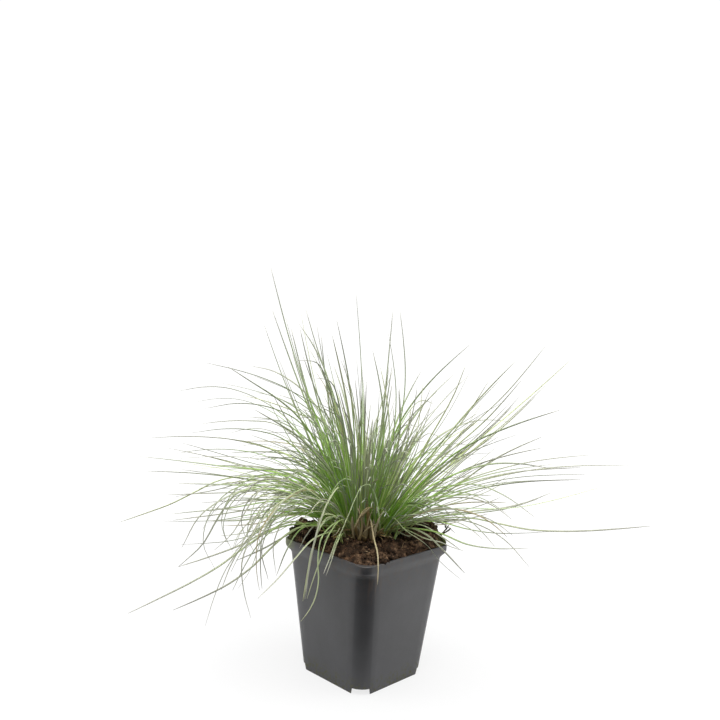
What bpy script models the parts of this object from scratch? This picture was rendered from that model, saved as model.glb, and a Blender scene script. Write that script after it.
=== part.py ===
"""Potted blue fescue clump: a square nursery pot, the peat in it and the tufts of grass.

Metres, +Z up. The origin is the middle of the pot's underside, and the pot's sides face
along X and Y. Every azimuth in the plant is counted anticlockwise from the pot's +X +Y corner.
"""

import math
import random

import bmesh
import bpy
import numpy as np
from mathutils import Vector, noise
from mathutils.bvhtree import BVHTree

MM = 0.001
GAP = 0.3 * MM

# Pot: a thin moulded shell, wider at the top, with cut-back corners and a lip
POT_HEIGHT = 99.3 * MM
RIM_WIDTH = 90 * MM
BODY_TOP_WIDTH = 87 * MM
BASE_WIDTH = 68.3 * MM
LIP_DEPTH = 6.8 * MM
LIP_EDGE = 0.6 * MM
WALL = 1.1 * MM
FLOOR = 1.5 * MM
CORNER_CUT = 10.3 * MM
LIP_CORNER_CUT = 6 * MM
CORNER_TURN = math.radians(66)
CORNER_POINTS = 5
DRAIN_HEIGHT = 4.4 * MM
DRAIN_TOP_WIDTH = 12.4 * MM
DRAIN_FOOT_WIDTH = 14.2 * MM
DRAIN_DEPTH = 12 * MM

# Peat: level with the rim at the +X -Y corner, raised round the crown, heaped in two corners
SOIL_EDGE_UP = 98.4 * MM
SOIL_FRONT_UP = 99 * MM
SOIL_CROWN_UP = 106 * MM
SOIL_BASE_CUT = 20 * MM
SOIL_BASE_RISE = 9 * MM
SOIL_SIDE_POINTS = 4
SOIL_RINGS = (0.95, 0.86, 0.74, 0.6, 0.43, 0.22)
SOIL_LUMP = 1.5 * MM
SOIL_LUMP_SIZE = 8 * MM
# each heap: along the azimuth-0 axis, across it, radius, height; both spill over their corners
SOIL_HEAPS = ((45 * MM, 8 * MM, 13 * MM, 9 * MM), (-50 * MM, 3 * MM, 11 * MM, 5 * MM))
SPILL_CORNERS = (0, 180)
SPILL_REACH = 24
SPILL_EDGE = 0.5 * MM

# Plant: the crown stands a little off the pot's middle
CORNER_AZIMUTH = math.radians(45)
CROWN_CENTRE = (-4 * MM, 5 * MM)
CROWN_RINGS = ((14, 4 * MM), (34, 9 * MM), (58, 14 * MM), (78, 18.5 * MM), (180, 22 * MM))
TUFT_SPREAD = 14
TUFT_SPACING = 4.6 * MM
SHEATH_LENGTH = 6 * MM
SHEATH_LEAN = 0.9
SHEATH_ROOM = 0.7 * MM
BLADES_IN_TUFT = 3
BLADE_BASE_RADIUS = 0.75 * MM
BLADE_TIP_RADIUS = 0.25 * MM
BLADE_STEP = 21 * MM
BLADE_CLEARANCE = 1.4 * MM

# The blades that give the clump its outline: azimuth in degrees, then the points that the blade
# passes, each as millimetres out from the crown's middle and up from the floor, the tip last
LEADING_BLADES = (
    (165, (32, 173), (53, 220), (80, 300)),
    (185, (33, 174), (50, 213), (72, 268)),
    (140, (35, 206), (50, 233), (73, 257)),
    (205, (24, 201), (41, 242), (51, 270)),
    (120, (38, 184), (68, 235)),
    (200, (4, 207), (12, 283)),
    (230, (19, 192), (41, 253)),
    (170, (52, 207), (95, 224), (119, 229)),
    (150, (57, 205), (89, 219), (110, 221)),
    (215, (65, 201), (99, 223), (114, 232)),
    (235, (43, 207), (58, 234), (83, 239)),
    (160, (74, 191), (124, 205), (161, 199)),
    (190, (58, 193), (85, 201), (118, 197)),
    (140, (91, 173), (136, 171), (190, 161)),
    (205, (71, 181), (107, 187), (131, 185)),
    (175, (72, 164), (118, 170), (164, 167)),
    (155, (77, 150), (132, 152), (174, 143)),
    (195, (56, 146), (113, 156), (163, 162)),
    (170, (56, 132), (107, 138), (175, 137)),
    (180, (56, 139), (100, 142), (144, 120), (183, 104)),
    (215, (72, 148), (106, 146), (136, 129), (144, 114)),
    (205, (65, 147), (110, 138), (122, 110), (113, 88)),
    (220, (76, 146), (114, 147), (134, 119), (152, 106)),
    (235, (80, 155), (114, 162), (134, 150)),
    (150, (61, 116), (134, 99), (190, 85)),
    (185, (54, 119), (112, 111), (149, 110)),
    (205, (56, 115), (121, 83), (171, 63)),
    (225, (60, 119), (116, 93), (163, 84)),
    (215, (62, 126), (104, 104), (126, 57)),
    (230, (78, 145), (119, 113), (111, 69)),
    (240, (58, 116), (108, 98), (127, 92)),
    (222, (56, 117), (78, 87)),
    (152, (60, 112), (101, 87), (134, 77)),
    (245, (45, 148), (70, 126), (85, 81)),
    (30, (17, 233), (19, 270)),
    (350, (22, 170), (28, 215), (22, 271)),
    (60, (53, 188), (88, 220)),
    (20, (31, 194), (49, 217), (83, 248)),
    (325, (41, 188), (54, 219)),
    (340, (51, 184), (67, 217), (73, 235)),
    (50, (79, 183), (134, 215)),
    (10, (58, 172), (97, 219), (113, 236)),
    (315, (76, 188), (119, 233)),
    (355, (55, 165), (104, 218), (128, 251)),
    (20, (80, 161), (134, 203), (174, 236)),
    (340, (74, 176), (119, 201), (140, 210)),
    (5, (68, 139), (98, 162), (135, 181)),
    (35, (74, 174), (108, 183), (156, 179)),
    (350, (73, 145), (123, 162), (190, 171)),
    (325, (66, 155), (112, 175), (146, 177)),
    (330, (49, 141), (95, 155), (133, 140)),
    (35, (70, 122), (133, 118)),
    (315, (62, 135), (90, 142)),
    (15, (80, 117), (128, 122), (156, 131)),
    (345, (70, 124), (129, 121), (205, 133)),
    (320, (62, 127), (91, 134), (123, 131), (146, 117)),
    (325, (58, 118), (94, 114), (134, 121)),
    (320, (56, 117), (77, 107), (93, 97)),
    (66, (58, 166), (112, 192), (150, 186)),
    (76, (44, 192), (88, 219)),
    (84, (68, 149), (126, 166), (170, 146)),
    (92, (48, 178), (88, 206), (115, 210)),
    (100, (74, 145), (130, 149), (166, 124)),
    (108, (46, 187), (93, 221)),
    (114, (70, 156), (122, 174), (160, 166)),
    (75, (66, 125), (122, 115), (152, 98)),
    (98, (60, 126), (112, 118), (142, 90)),
    (124, (66, 128), (120, 124), (162, 110)),
    (250, (34, 168), (56, 206), (70, 216)),
    (268, (22, 176), (36, 222)),
    (286, (36, 164), (62, 197), (80, 198)),
    (300, (48, 158), (84, 184), (108, 180)),
)
# Blades in front that no plane through the crown holds, as millimetres along the azimuth-0 axis,
# across it and up
ARCHED_BLADE = ((8, -9, 112), (6, -16, 136), (-1, -25, 145), (-14, -34, 132), (-26, -43, 103))
HANGING_BLADE = ((-9, -12, 112), (-23, -23, 123), (-31, -39, 111), (-34, -48, 95), (-41, -50, 59))
DRY_BLADE = ((1, -10, 112), (1, -16, 124), (3, -30, 117), (6, -45, 110), (8, -59, 103), (8, -65, 89))
OLD_STALK = ((2, -8, 112), (1, -10, 138))

GREEN = (0.17, 0.27, 0.13)
STRAW = (0.52, 0.43, 0.24)
PEAT = (0.07, 0.04, 0.025)
POT_GREY = (0.085, 0.085, 0.09)


def material(name, colour, roughness):
    made = bpy.data.materials.new(name)
    made.use_nodes = True
    shader = made.node_tree.nodes["Principled BSDF"]
    shader.inputs["Base Color"].default_value = (*colour, 1)
    shader.inputs["Roughness"].default_value = roughness
    shader.inputs["Metallic"].default_value = 0
    return made


def add_object(name, mesh_builder, collection, look):
    """Makes the bmesh an object, with its faces turned outwards."""
    bmesh.ops.recalc_face_normals(mesh_builder, faces=mesh_builder.faces)
    mesh = bpy.data.meshes.new(name)
    mesh_builder.to_mesh(mesh)
    mesh_builder.free()
    if look:
        mesh.materials.append(look)
    made = bpy.data.objects.new(name, mesh)
    collection.objects.link(made)
    return made


def smoothstep(low, high, value):
    share = min(1, max(0, (value - low) / (high - low)))
    return share * share * (3 - 2 * share)


def outline(width, cut, up, side_points=0):
    """One level ring of the pot: straight sides, and corners cut back in a shallow curve."""
    half = width / 2
    curve_radius = cut / math.sqrt(2) / math.sin(CORNER_TURN / 2)
    curve_centre = (half - cut / 2) - curve_radius * math.cos(CORNER_TURN / 2) / math.sqrt(2)
    ring = []
    for corner in range(4):
        corner_turn = corner * math.pi / 2
        local = []
        for step in range(CORNER_POINTS):
            angle = math.pi / 4 + CORNER_TURN * (step / (CORNER_POINTS - 1) - 0.5)
            local.append(
                (
                    curve_centre + curve_radius * math.cos(angle),
                    curve_centre + curve_radius * math.sin(angle),
                )
            )
        for step in range(1, side_points + 1):
            along = 1 - 2 * step / (side_points + 1)
            local.append((along * (half - cut), half))
        for x, y in local:
            ring.append(
                Vector(
                    (
                        x * math.cos(corner_turn) - y * math.sin(corner_turn),
                        x * math.sin(corner_turn) + y * math.cos(corner_turn),
                        up,
                    )
                )
            )
    return ring


def loft(rings, closed_ends=(True, True)):
    """A bmesh of quads between rings that all have the same number of points."""
    bm = bmesh.new()
    levels = [[bm.verts.new(point) for point in ring] for ring in rings]
    count = len(levels[0])
    for low, high in zip(levels, levels[1:]):
        for i in range(count):
            j = (i + 1) % count
            bm.faces.new((low[i], low[j], high[j], high[i]))
    if closed_ends[0]:
        bm.faces.new(levels[0][::-1])
    if closed_ends[1]:
        bm.faces.new(levels[-1])
    return bm, levels


def body_width(up):
    """The pot's outside width at a height, under the lip."""
    return BASE_WIDTH + (BODY_TOP_WIDTH - BASE_WIDTH) * up / (POT_HEIGHT - LIP_DEPTH)


def make_pot(collection, cutters):
    lip_low = POT_HEIGHT - LIP_DEPTH
    inside_top = body_width(POT_HEIGHT) - 2 * WALL
    rings = [
        outline(BASE_WIDTH, CORNER_CUT, 0),
        outline(BODY_TOP_WIDTH, CORNER_CUT, lip_low),
        outline(RIM_WIDTH - LIP_EDGE, LIP_CORNER_CUT, lip_low),
        outline(RIM_WIDTH, LIP_CORNER_CUT, lip_low + LIP_EDGE),
        outline(RIM_WIDTH, LIP_CORNER_CUT, POT_HEIGHT - LIP_EDGE),
        outline(RIM_WIDTH - LIP_EDGE, LIP_CORNER_CUT, POT_HEIGHT),
        outline(inside_top, CORNER_CUT, POT_HEIGHT),
        outline(body_width(FLOOR) - 2 * WALL, CORNER_CUT, FLOOR),
    ]
    bm, _ = loft(rings)
    pot = add_object("pot", bm, collection, material("pot_plastic", POT_GREY, 0.5))

    corner_out = (BASE_WIDTH / 2 - CORNER_CUT / 2) * math.sqrt(2)
    cutter_bm = bmesh.new()
    for corner in range(4):
        made = bmesh.ops.create_cube(cutter_bm, size=1)["verts"]
        turn = math.pi / 4 + corner * math.pi / 2
        for vert in made:
            wide = DRAIN_TOP_WIDTH if vert.co.z > 0 else DRAIN_FOOT_WIDTH
            out = corner_out + (DRAIN_DEPTH if vert.co.x > 0 else -DRAIN_DEPTH)
            across = vert.co.y * wide
            up = DRAIN_HEIGHT if vert.co.z > 0 else -DRAIN_HEIGHT
            vert.co = (
                out * math.cos(turn) - across * math.sin(turn),
                out * math.sin(turn) + across * math.cos(turn),
                up,
            )
    cutter = add_object("drain_cutter", cutter_bm, cutters, None)
    cutter.hide_render = True
    cutter.display_type = "WIRE"
    cut = pot.modifiers.new("drains", "BOOLEAN")
    cut.object = cutter
    cut.operation = "DIFFERENCE"
    cut.solver = "EXACT"
    return pot


def across_pot(x, y, width, cut):
    """How far out a point lies: 0 at the pot's middle, 1 on an outline of this width."""
    half = width / 2
    return max(abs(x), abs(y), (abs(x) + abs(y)) / (2 - cut / half)) / half


def to_pot(along, across):
    """From the azimuth-0 axis and the one across it to the pot's X and Y."""
    c, s = math.cos(CORNER_AZIMUTH), math.sin(CORNER_AZIMUTH)
    return along * c - across * s, along * s + across * c


def from_pot(x, y):
    c, s = math.cos(CORNER_AZIMUTH), math.sin(CORNER_AZIMUTH)
    return x * c + y * s, y * c - x * s


def soil_up(x, y, share):
    """Height of the peat's surface at a point, share of the way out to its edge."""
    along, across = from_pot(x, y)
    rise = smoothstep(-56 * MM, -6 * MM, across)
    up = SOIL_FRONT_UP + (SOIL_CROWN_UP - SOIL_FRONT_UP) * rise
    for heap_along, heap_across, radius, height in SOIL_HEAPS:
        away = math.hypot(along - heap_along, across - heap_across) / radius
        up += height * math.exp(-away * away)
    off_crown = math.hypot(along - CROWN_CENTRE[0], across - CROWN_CENTRE[1])
    roughness = SOIL_LUMP * smoothstep(20 * MM, 32 * MM, off_crown)
    up += roughness * noise.noise(Vector((x, y, 0)) / SOIL_LUMP_SIZE)
    return SOIL_EDGE_UP + (up - SOIL_EDGE_UP) * smoothstep(1, 0.86, share)


def make_soil(collection):
    """The peat: it fills the pot, and two heaps reach over the lip of their corners."""

    def ring(up, cut):
        width = body_width(up) - 2 * WALL - 2 * GAP
        return outline(width, cut, up, SOIL_SIDE_POINTS)

    throat = ring(POT_HEIGHT, CORNER_CUT)
    lip = outline(RIM_WIDTH - 2 * SPILL_EDGE, LIP_CORNER_CUT, POT_HEIGHT, SOIL_SIDE_POINTS)
    edge = []
    for inner, outer in zip(throat, lip):
        azimuth = math.degrees(math.atan2(inner.y, inner.x)) - 45
        off = min(abs((azimuth - corner + 180) % 360 - 180) for corner in SPILL_CORNERS)
        spill = smoothstep(SPILL_REACH, SPILL_REACH / 2, off)
        inner.z = SOIL_EDGE_UP - GAP + (POT_HEIGHT + 2 * GAP - SOIL_EDGE_UP) * (spill > 0)
        point = inner.lerp(outer, spill)
        point.z = inner.z + GAP
        edge.append(point)
    rings = [ring(FLOOR + GAP, SOIL_BASE_CUT), ring(FLOOR + SOIL_BASE_RISE, CORNER_CUT), throat, edge]
    for share in SOIL_RINGS:
        level = []
        for point in edge:
            x, y = point.x * share, point.y * share
            level.append(Vector((x, y, max(soil_up(x, y, share), point.z - 4 * (1 - share) * MM))))
        rings.append(level)
    bm, levels = loft(rings, (True, False))
    middle = bm.verts.new((0, 0, soil_up(0, 0, 0)))
    last = levels[-1]
    for i, vert in enumerate(last):
        bm.faces.new((vert, last[(i + 1) % len(last)], middle))
    return add_object("soil", bm, collection, material("peat", PEAT, 0.95))


def smooth_curve(points, count):
    """Evenly spaced points of a smooth curve that passes the given ones."""
    p = np.array(points, float)
    t = np.concatenate([[0], np.cumsum(np.linalg.norm(np.diff(p, axis=0), axis=1))])
    slope = np.diff(p, axis=0) / np.diff(t)[:, None]
    if len(p) == 2:
        tangent = np.array([slope[0], slope[0]])
    else:
        tangent = np.empty_like(p)
        weight = (np.diff(t)[1:] / (t[2:] - t[:-2]))[:, None]
        tangent[1:-1] = slope[:-1] * weight + slope[1:] * (1 - weight)
        tangent[0] = 1.5 * slope[0] - 0.5 * tangent[1]
        tangent[-1] = 1.5 * slope[-1] - 0.5 * tangent[-2]
    fine = np.linspace(0, t[-1], 80)
    i = np.clip(np.searchsorted(t, fine, side="right") - 1, 0, len(p) - 2)
    span = (t[i + 1] - t[i])[:, None]
    x = (fine[:, None] - t[i][:, None]) / span
    curve = (
        (1 + 2 * x) * (1 - x) ** 2 * p[i]
        + x * (1 - x) ** 2 * span * tangent[i]
        + x * x * (3 - 2 * x) * p[i + 1]
        + x * x * (x - 1) * span * tangent[i + 1]
    )
    return resample(curve, count)


def resample(path, count):
    """The same path with points at even distances."""
    run = np.concatenate([[0], np.cumsum(np.linalg.norm(np.diff(path, axis=0), axis=1))])
    even = np.linspace(0, run[-1], count)
    return np.column_stack([np.interp(even, run, path[:, k]) for k in range(3)])


def length_of(path):
    return float(np.linalg.norm(np.diff(path, axis=0), axis=1).sum())


def peat_up(soil_tree, x, y):
    """Height of the soil's own faces at a point, 0 beside them."""
    hit = soil_tree.ray_cast(Vector((x, y, 1)), Vector((0, 0, -1)))[0]
    return hit.z if hit else 0


def ground_up(soil_tree, x, y):
    """The highest thing under a blade: peat, the pot's rim, or nothing."""
    out = across_pot(x, y, RIM_WIDTH, LIP_CORNER_CUT)
    if out > 1.05:
        return 0
    return max(peat_up(soil_tree, x, y), POT_HEIGHT if out > 0.9 else 0)


def clear_of_ground(path, soil_tree):
    """Lifts whole segments of a path until none comes too near the peat or the rim."""
    lifted = path.copy()
    for _ in range(12):
        worst = 0
        for k in range(1, len(lifted)):
            need = 0
            for share in np.linspace(0.5 if k == 1 else 0, 1, 6):
                at = lifted[k - 1] * (1 - share) + lifted[k] * share
                need = max(need, ground_up(soil_tree, at[0], at[1]) + BLADE_CLEARANCE - at[2])
            if need > 0:
                lifted[k, 2] += need
                if k > 1:
                    lifted[k - 1, 2] += need
                worst = max(worst, need)
        if worst < 0.05 * MM:
            break
    return lifted


def crown_point(azimuth, out, up):
    """A point given by azimuth and distance from the crown's middle, in the pot's frame."""
    turn = math.radians(azimuth)
    along = CROWN_CENTRE[0] + out * math.cos(turn)
    across = CROWN_CENTRE[1] + out * math.sin(turn)
    return np.array([*to_pot(along, across), up])


def crown_ring(points):
    """Which ring of the crown a blade grows in: the more it leans, the further out."""
    out, up = points[0]
    lean = math.degrees(math.atan2(max(0, out - 8), up - SOIL_CROWN_UP / MM))
    return next(i for i, (limit, _) in enumerate(CROWN_RINGS) if lean <= limit)


def gather_tufts():
    """Leading blades that leave the crown side by side share a tuft: (ring, blades)."""
    tufts = []
    for azimuth, *points in sorted(LEADING_BLADES, key=lambda row: (crown_ring(row[1:]), row[0])):
        ring = crown_ring(points)
        if tufts and tufts[-1][0] == ring and len(tufts[-1][1]) < 2:
            blades = tufts[-1][1]
            if azimuth - blades[0][0] <= TUFT_SPREAD:
                blades.append((azimuth, points))
                continue
        tufts.append((ring, [(azimuth, points)]))
    return tufts


def spread_bases(bases, fixed):
    """Pushes the tufts' feet apart until they stand clear of each other; the first ones stay."""
    spots = [np.array(spot) for spot in bases]
    for _ in range(200):
        for i in range(len(spots)):
            for j in range(i):
                step = spots[i] - spots[j]
                away = np.linalg.norm(step)
                if away >= TUFT_SPACING:
                    continue
                push = step / max(away, 1e-6) * (TUFT_SPACING - away) / 2
                if i >= fixed:
                    spots[i] = spots[i] + push * (2 if j < fixed else 1)
                if j >= fixed:
                    spots[j] = spots[j] - push
    return spots


def turned(path, degrees, scale=1.0, lean=0.0):
    """A blade's path swung about its root, made longer or shorter, and leaned out or in."""
    c, s = math.cos(math.radians(degrees)), math.sin(math.radians(degrees))
    away = path - path[0]
    flat = np.column_stack([away[:, 0] * c - away[:, 1] * s, away[:, 0] * s + away[:, 1] * c])
    out = np.linalg.norm(flat, axis=1)
    heading = flat / np.maximum(out, 1e-9)[:, None]
    cl, sl = math.cos(math.radians(lean)), math.sin(math.radians(lean))
    new_out = (out * cl + away[:, 2] * sl) * scale
    new_up = (away[:, 2] * cl - out * sl) * scale
    return path[0] + np.column_stack([heading * new_out[:, None], new_up])


def in_steps(path):
    """The path with a point about every BLADE_STEP."""
    return resample(path, 1 + min(9, max(4, round(length_of(path) / BLADE_STEP))))


def blade_path(root, points):
    """The polygon that a blade follows from its root through the points given for it."""
    return in_steps(smooth_curve([root, *points], 80))


def blade_rings(path, across, extra=0.0):
    """Three-sided rings along a path, thinner to the tip; extra is added to their radius."""
    rings = []
    across = Vector(across)
    for k in range(1, len(path)):
        ahead = Vector(path[min(k + 1, len(path) - 1)] - path[k - 1]).normalized()
        across = (across - ahead * across.dot(ahead)).normalized()
        beside = ahead.cross(across)
        share = k / (len(path) - 1)
        radius = BLADE_BASE_RADIUS + (BLADE_TIP_RADIUS - BLADE_BASE_RADIUS) * share + extra
        ring = []
        for i in range(3):
            angle = i * 2 * math.pi / 3
            spoke = across * math.cos(angle) + beside * math.sin(angle)
            ring.append(Vector(path[k]) + radius * spoke)
        rings.append(ring)
    return rings


def tree_of_rings(rings):
    points = [point for ring in rings for point in ring]
    faces = [(0, 1, 2), tuple(len(points) - k for k in (3, 2, 1))]
    for k in range(len(rings) - 1):
        for i in range(3):
            j = (i + 1) % 3
            faces.append((3 * k + i, 3 * k + j, 3 * k + 3 + j, 3 * k + 3 + i))
    return BVHTree.FromPolygons(points, faces)


def spoke_of(face):
    """From a face's middle to its first corner, where a blade's rings start."""
    return face.verts[0].co - face.calc_center_median()


def is_clear(face, path, solids, beside):
    """True where a blade from this face would miss the other solids and its tuft's own blades."""
    rings = blade_rings(path, spoke_of(face), GAP)
    blade = tree_of_rings([[vert.co for vert in face.verts], *rings])
    return not any(blade.overlap(tree) for tree in (*solids, *beside))


def grow_blade(bm, face, path):
    """Draws a three-sided blade out of a face, ring by ring along the path."""
    rings = [[vert.co.copy() for vert in face.verts], *blade_rings(path, spoke_of(face))]
    for ring in rings[1:]:
        face = bmesh.ops.extrude_discrete_faces(bm, faces=[face])["faces"][0]
        for vert, point in zip(face.verts, ring):
            vert.co = point
    return tree_of_rings(rings)


def sheath_rings(spot, goal, radius, sides, soil_tree):
    """The two rings of a tuft's leafless foot, a short prism that leans towards its blades."""
    ups = [peat_up(soil_tree, *spot)]
    for i in range(12):
        angle = i * math.pi / 6
        x, y = spot[0] + radius * math.cos(angle), spot[1] + radius * math.sin(angle)
        ups.append(peat_up(soil_tree, x, y))
    foot = Vector((*spot, max(ups) + GAP))
    axis = Vector(goal) - foot
    axis.z = max(axis.z, SHEATH_LEAN * math.hypot(axis.x, axis.y))
    axis.normalize()
    across = axis.cross(Vector((0, 0, 1)))
    across = across.normalized() if across.length > 1e-3 else Vector((1, 0, 0))
    beside = axis.cross(across)
    low, high = [], []
    for i in range(sides):
        angle = i * 2 * math.pi / sides
        spoke = across * math.cos(angle) + beside * math.sin(angle)
        high.append(foot + axis * SHEATH_LENGTH + spoke * radius)
        low.append(foot + Vector((spoke.x, spoke.y, 0)).normalized() * radius)
    return low, high


def place_sheath(spot, goal, radius, sides, solids):
    """The rings of the sheath nearest the wished spot that touches no other solid."""
    for step in range(60):
        angle, away = step * 2.4, 0.35 * MM * math.sqrt(step)
        at = (spot[0] + away * math.cos(angle), spot[1] + away * math.sin(angle))
        rings = sheath_rings(at, goal, radius, sides, solids[0])
        wider = sheath_rings(at, goal, radius + SHEATH_ROOM, sides, solids[0])
        points = [point for ring in wider for point in ring]
        faces = [(i, (i + 1) % sides, (i + 1) % sides + sides, i + sides) for i in range(sides)]
        tree = BVHTree.FromPolygons(points, faces)
        if not any(tree.overlap(other) for other in solids[1:]):
            return rings
    print("no clear spot for a tuft near", spot)
    return sheath_rings(spot, goal, radius, sides, solids[0])


def make_sheath(bm, low, high):
    """Builds a sheath on its two rings. Returns the wedges of its top."""
    bottom = [bm.verts.new(point) for point in low]
    top = [bm.verts.new(point) for point in high]
    sides = len(top)
    for i in range(sides):
        j = (i + 1) % sides
        bm.faces.new((bottom[i], bottom[j], top[j], top[i]))
    bm.faces.new(bottom[::-1])
    cap = bm.faces.new(top)
    bm.normal_update()
    wedges = bmesh.ops.poke(bm, faces=[cap])["faces"]
    return wedges


def make_tuft(name, spot, leading, count, solids, rng, collection, look):
    """One tuft: a sheath, its leading blades and shorter ones beside them.

    solids holds the search trees of the soil, the pot and the tufts made before.
    """
    goal = np.mean([points[0] for points in leading], axis=0)
    rings = place_sheath(spot, goal, 0.57 * MM * count, 2 * count, solids)
    bm = bmesh.new()
    rooms = make_sheath(bm, *rings)[::2]
    bmesh.ops.inset_individual(bm, faces=rooms, thickness=0.12 * MM, use_even_offset=True)
    own = []
    paths = []
    for points in leading:
        room = min(rooms, key=lambda face: (face.calc_center_median() - Vector(points[0])).length)
        rooms.remove(room)
        base = blade_path(np.array(room.calc_center_median()), points)
        for step in range(60):
            swing = (step % 20 + 1) // 2 * (2 if step % 2 else -2)
            path = clear_of_ground(turned(base, swing, lean=-3 * (step // 20)), solids[0])
            if is_clear(room, path, solids, own):
                break
        else:
            print(name, "leading blade touches a neighbour")
        own.append(grow_blade(bm, room, path))
        paths.append((room, path))
    for number, room in enumerate(rooms):
        root = np.array(room.calc_center_median())
        source = paths[number % len(leading)][1]
        for _ in range(60):
            swing = rng.uniform(7, 20) * rng.choice((-1, 1))
            path = turned(source, swing, rng.uniform(0.5, 0.9), rng.uniform(-9, 9))
            path = clear_of_ground(in_steps(path + (root - path[0])), solids[0])
            if is_clear(room, path, solids, own):
                own.append(grow_blade(bm, room, path))
                break
        else:
            print(name, "has no room for a blade")
    solids.append(BVHTree.FromBMesh(bm))
    return add_object(name, bm, collection, look)


def make_grass(collection, solids):
    rng = random.Random(16)
    green = material("blue_green_blade", GREEN, 0.55)
    straw = material("straw", STRAW, 0.8)

    def placed(points):
        return [np.array([*to_pot(along * MM, across * MM), up * MM]) for along, across, up in points]

    arched, hanging, dry, stalk = map(placed, (ARCHED_BLADE, HANGING_BLADE, DRY_BLADE, OLD_STALK))
    tufts = gather_tufts()[::-1]
    starts = [points[0][:2] for points in (arched, hanging, dry)]
    for ring, blades in tufts:
        azimuth = sum(blade[0] for blade in blades) / len(blades)
        starts.append(crown_point(azimuth, CROWN_RINGS[ring][1], 0)[:2])
    spots = spread_bases(starts, 3)

    def tuft(name, spot, leading, count, look):
        make_tuft(name, spot, leading, count, solids, rng, collection, look)

    tuft("tuft_arched", spots[0], [arched[1:]], 3, green)
    tuft("tuft_hanging", spots[1], [hanging[1:]], 3, green)
    tuft("dry_blade", spots[2], [dry[1:], stalk[1:]], 2, straw)
    for number, ((_, blades), spot) in enumerate(zip(tufts, spots[3:]), 1):
        leading = [
            [crown_point(azimuth, out * MM, up * MM) for out, up in points]
            for azimuth, points in blades
        ]
        tuft(f"tuft_{number:02d}", spot, leading, BLADES_IN_TUFT, green)


def main():
    for old in list(bpy.data.objects):
        bpy.data.objects.remove(old, do_unlink=True)
    plant = bpy.data.collections.new("potted_blue_fescue")
    cutters = bpy.data.collections.new("cutters")
    bpy.context.scene.collection.children.link(plant)
    bpy.context.scene.collection.children.link(cutters)
    pot = make_pot(plant, cutters)
    soil = make_soil(plant)
    deps = bpy.context.evaluated_depsgraph_get()
    make_grass(plant, [BVHTree.FromObject(soil, deps), BVHTree.FromObject(pot, deps)])


main()
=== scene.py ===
# %% [markdown]
# A potted blue fescue clump, dressed.
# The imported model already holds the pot, the peat and one faceted solid for each tuft of grass.
# This script keeps all of them where they are and gives each one its real surface.
# The pot gets a mould's soft edges, the peat gets crumbs and fibres, and every tuft gets its fine blades.
# All lengths are metres, so a value written as 5 * MM is five millimetres.

# %% Load the frame
import math
import random

import bmesh
import bpy
import numpy as np
from mathutils import Matrix, Vector, noise
from mathutils.bvhtree import BVHTree


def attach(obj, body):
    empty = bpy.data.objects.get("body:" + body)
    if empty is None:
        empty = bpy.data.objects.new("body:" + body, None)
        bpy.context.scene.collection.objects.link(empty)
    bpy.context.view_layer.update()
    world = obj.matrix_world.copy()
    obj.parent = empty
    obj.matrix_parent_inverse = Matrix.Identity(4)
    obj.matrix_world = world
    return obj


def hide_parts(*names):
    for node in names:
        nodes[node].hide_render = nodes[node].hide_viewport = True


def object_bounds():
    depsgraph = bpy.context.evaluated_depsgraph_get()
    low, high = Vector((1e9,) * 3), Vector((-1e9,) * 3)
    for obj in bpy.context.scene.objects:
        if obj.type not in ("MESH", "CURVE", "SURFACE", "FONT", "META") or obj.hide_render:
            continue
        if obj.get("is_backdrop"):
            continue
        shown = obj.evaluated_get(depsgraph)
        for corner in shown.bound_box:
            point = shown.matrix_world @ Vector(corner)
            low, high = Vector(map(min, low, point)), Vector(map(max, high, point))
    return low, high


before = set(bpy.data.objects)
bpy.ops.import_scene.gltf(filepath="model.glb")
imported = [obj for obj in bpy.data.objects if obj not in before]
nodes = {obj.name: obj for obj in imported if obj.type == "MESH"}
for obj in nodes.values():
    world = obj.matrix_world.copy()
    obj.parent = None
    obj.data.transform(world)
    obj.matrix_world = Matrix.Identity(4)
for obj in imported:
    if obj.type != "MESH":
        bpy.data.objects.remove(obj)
cad_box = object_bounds()
MM = 0.001
tuft_names = sorted(name for name in nodes if name.startswith("tuft"))
scene = bpy.context.scene


def into_scene(name, data):
    made = bpy.data.objects.new(name, data)
    scene.collection.objects.link(made)
    return made


print(len(nodes), "solids,", len(tuft_names), "of them tufts")

# %% [markdown]
# The camera stands a little more than half a metre in front of one corner of the pot.
# It looks down by five degrees and leans a little to one side, as a hand-held camera does.
# Its place is given in the viewer's own axes: x to the right, y away from the viewer and z up.
# One turn about the vertical then brings it round to the pot's near corner.

# %% Camera
CAMERA_PLACE = Vector((-10.5, -617.9, 289.3)) * MM
CAMERA_PITCH = math.radians(4.98)
CAMERA_ROLL = math.radians(-2.43)
VIEWER_TURN = math.radians(45.19)
LENS = 42

ahead = Vector((0, math.cos(CAMERA_PITCH), -math.sin(CAMERA_PITCH)))
level = Vector((1, 0, 0))
below = ahead.cross(level)
picture_right = math.cos(CAMERA_ROLL) * level + math.sin(CAMERA_ROLL) * below
picture_down = math.cos(CAMERA_ROLL) * below - math.sin(CAMERA_ROLL) * level
aim = Matrix((picture_right, -picture_down, -ahead)).transposed().to_4x4()
aim.translation = CAMERA_PLACE
camera = into_scene("camera", bpy.data.cameras.new("camera"))
camera.data.lens = LENS
camera.matrix_world = Matrix.Rotation(VIEWER_TURN, 4, "Z") @ aim
scene.camera = camera
print("camera at", [round(value, 3) for value in camera.matrix_world.translation])

# %% [markdown]
# Materials are built from shader nodes, and a few small helpers keep that readable.
# The first fills a node's inputs by name: a value that is another node's output is linked.
# The others add one common node each, and start_material begins with a Principled BSDF.

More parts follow.
